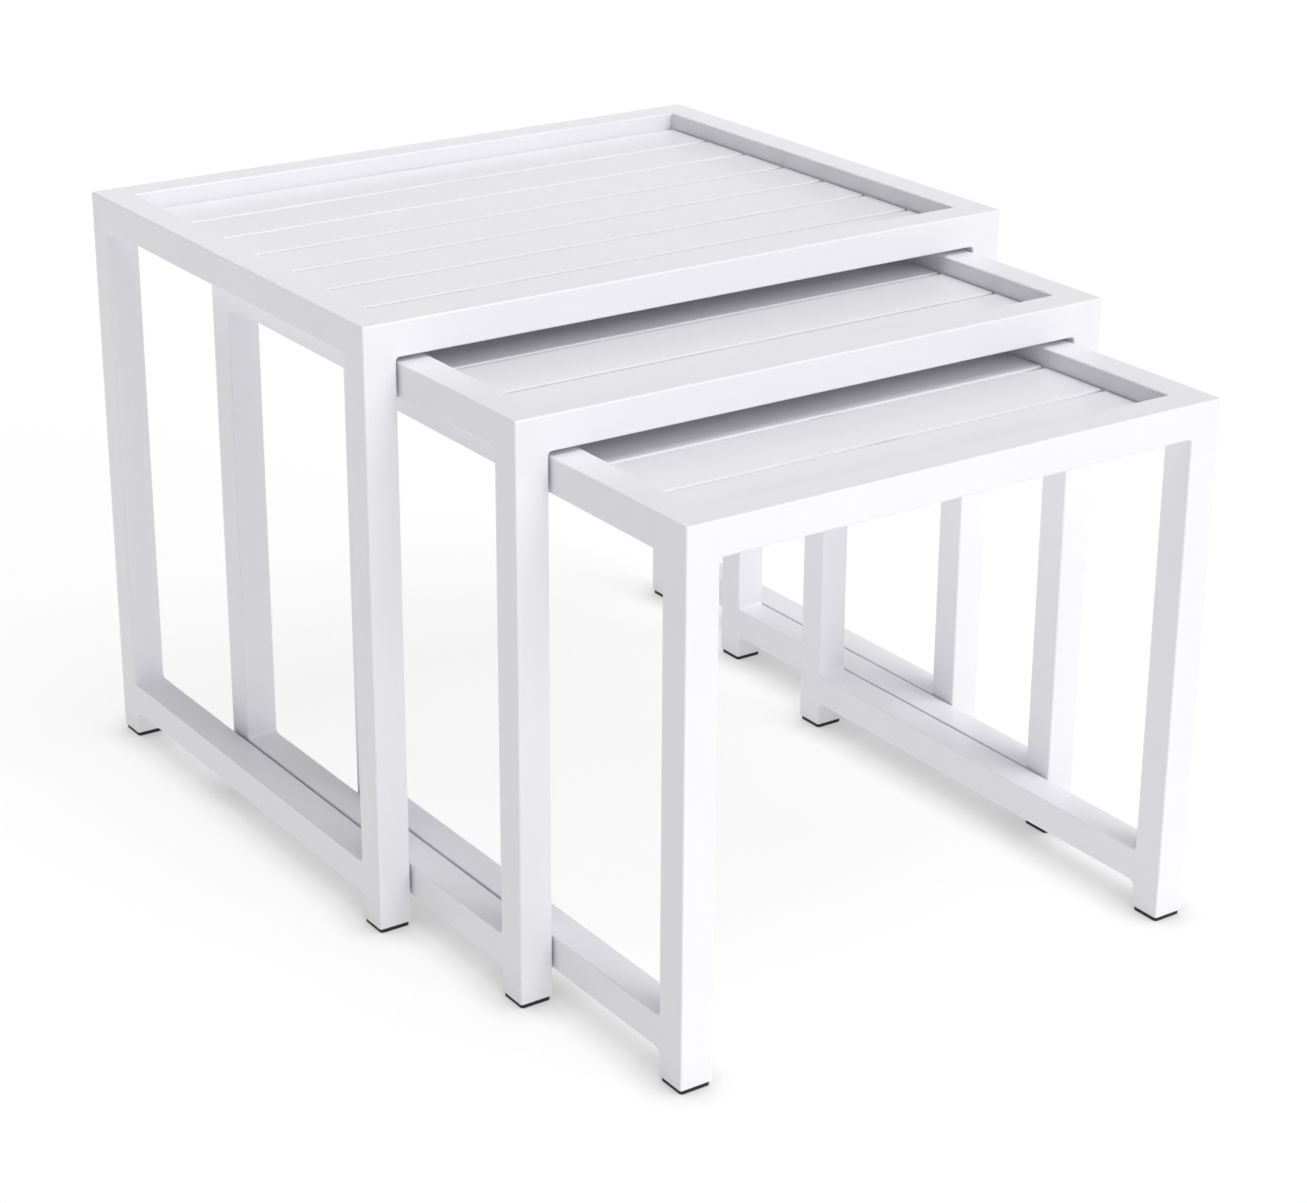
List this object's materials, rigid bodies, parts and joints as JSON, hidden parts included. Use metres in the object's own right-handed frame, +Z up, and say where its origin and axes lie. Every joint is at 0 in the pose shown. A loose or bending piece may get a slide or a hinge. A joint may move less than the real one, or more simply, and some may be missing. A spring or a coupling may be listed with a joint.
{
  "type": "nesting tables",
  "caption": "Set of white welded aluminium side tables that nest under one another, with mitred top frames, recessed slats, low side rails and black foot glides.",
  "frame": {"origin": "on the floor, at the middle of the footprint of the staggered set", "axes": "+Z up, -Y is the front that the smaller tables are pulled out of, +X is to the right of somebody who faces the front"},
  "size_m": [0.61, 0.797, 0.5],
  "materials": {
    "frame_coat": "white satin powder coat over welded aluminium tube",
    "slat_coat": "white satin powder coat over extruded aluminium planks",
    "glide_black": "black moulded plastic, matt"
  },
  "bodies": {
    "large_table": {"large_front_left_leg": "frame_coat", "large_front_right_leg": "frame_coat", "large_back_left_leg": "frame_coat", "large_back_right_leg": "frame_coat", "large_front_top_rail": "frame_coat", "large_back_top_rail": "frame_coat", "large_left_top_rail": "frame_coat", "large_right_top_rail": "frame_coat", "large_left_low_rail": "frame_coat", "large_right_low_rail": "frame_coat", "large_corner_welds": "frame_coat", "large_slat_1": "slat_coat", "large_slat_2": "slat_coat", "large_slat_3": "slat_coat", "large_slat_4": "slat_coat", "large_slat_5": "slat_coat", "large_slat_6": "slat_coat", "large_slat_7": "slat_coat", "large_slat_supports": "frame_coat", "large_foot_glides": "glide_black"},
    "middle_table": {"middle_front_left_leg": "frame_coat", "middle_front_right_leg": "frame_coat", "middle_back_left_leg": "frame_coat", "middle_back_right_leg": "frame_coat", "middle_front_top_rail": "frame_coat", "middle_back_top_rail": "frame_coat", "middle_left_top_rail": "frame_coat", "middle_right_top_rail": "frame_coat", "middle_left_low_rail": "frame_coat", "middle_right_low_rail": "frame_coat", "middle_corner_welds": "frame_coat", "middle_slat_1": "slat_coat", "middle_slat_2": "slat_coat", "middle_slat_3": "slat_coat", "middle_slat_4": "slat_coat", "middle_slat_5": "slat_coat", "middle_slat_6": "slat_coat", "middle_slat_supports": "frame_coat", "middle_foot_glides": "glide_black"},
    "small_table": {"small_front_left_leg": "frame_coat", "small_front_right_leg": "frame_coat", "small_back_left_leg": "frame_coat", "small_back_right_leg": "frame_coat", "small_front_top_rail": "frame_coat", "small_back_top_rail": "frame_coat", "small_left_top_rail": "frame_coat", "small_right_top_rail": "frame_coat", "small_left_low_rail": "frame_coat", "small_right_low_rail": "frame_coat", "small_corner_welds": "frame_coat", "small_slat_1": "slat_coat", "small_slat_2": "slat_coat", "small_slat_3": "slat_coat", "small_slat_4": "slat_coat", "small_slat_5": "slat_coat", "small_slat_6": "slat_coat", "small_slat_supports": "frame_coat", "small_foot_glides": "glide_black"}
  },
  "joints": [
    {"name": "middle_table_slide", "type": "slide", "parent": "large_table", "child": "middle_table", "axis": [0, -1, 0], "range_m": [-0.161, 0.34]},
    {"name": "small_table_slide", "type": "slide", "parent": "large_table", "child": "small_table", "axis": [0, -1, 0], "range_m": [-0.327, 0.34]}
  ]
}
